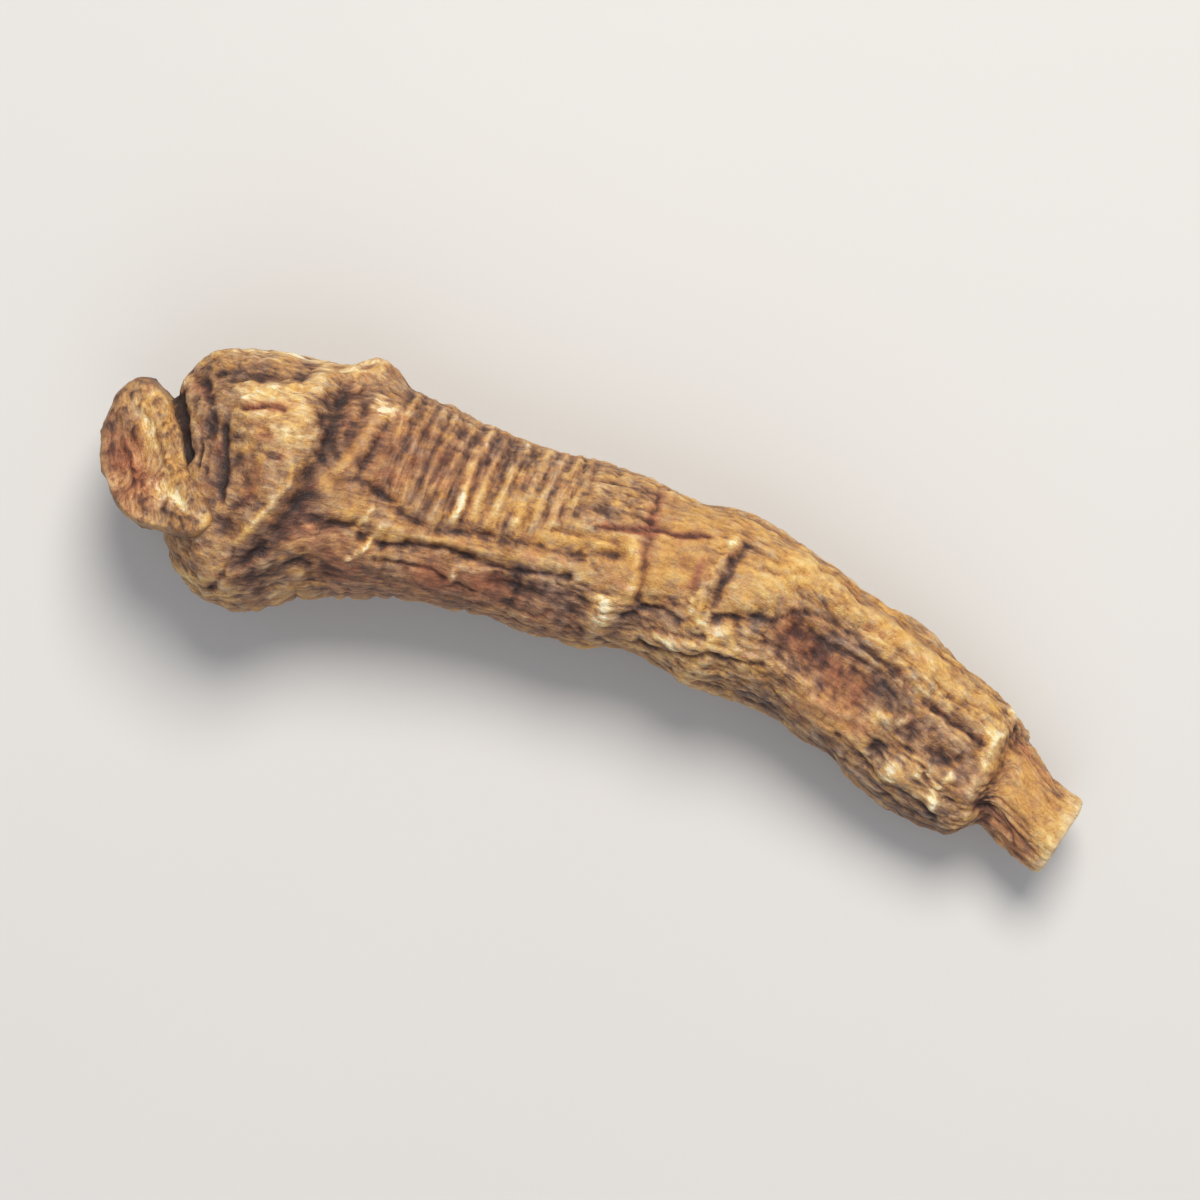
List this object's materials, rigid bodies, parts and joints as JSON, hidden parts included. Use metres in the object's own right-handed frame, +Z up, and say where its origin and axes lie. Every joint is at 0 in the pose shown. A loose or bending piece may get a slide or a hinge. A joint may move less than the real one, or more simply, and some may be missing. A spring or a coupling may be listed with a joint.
{
  "type": "ginseng root",
  "caption": "Dried ginseng root lying on its belly: a broad wrinkled shoulder with a short rhizome knob, a ringed neck and a bent body tapering to a cut tail.",
  "frame": {"origin": "centre of the box round the root, on the surface that it rests on", "axes": "+X from the crown to the cut tail, +Y towards the outside of its bend, +Z up from the surface"},
  "size_m": [0.0552, 0.015, 0.0118],
  "materials": {
    "dried_root_skin": "dull wrinkled dried skin, pale on the ridges and dark in the folds"
  },
  "bodies": {
    "root": {"ginseng_root": "dried_root_skin"}
  },
  "joints": []
}
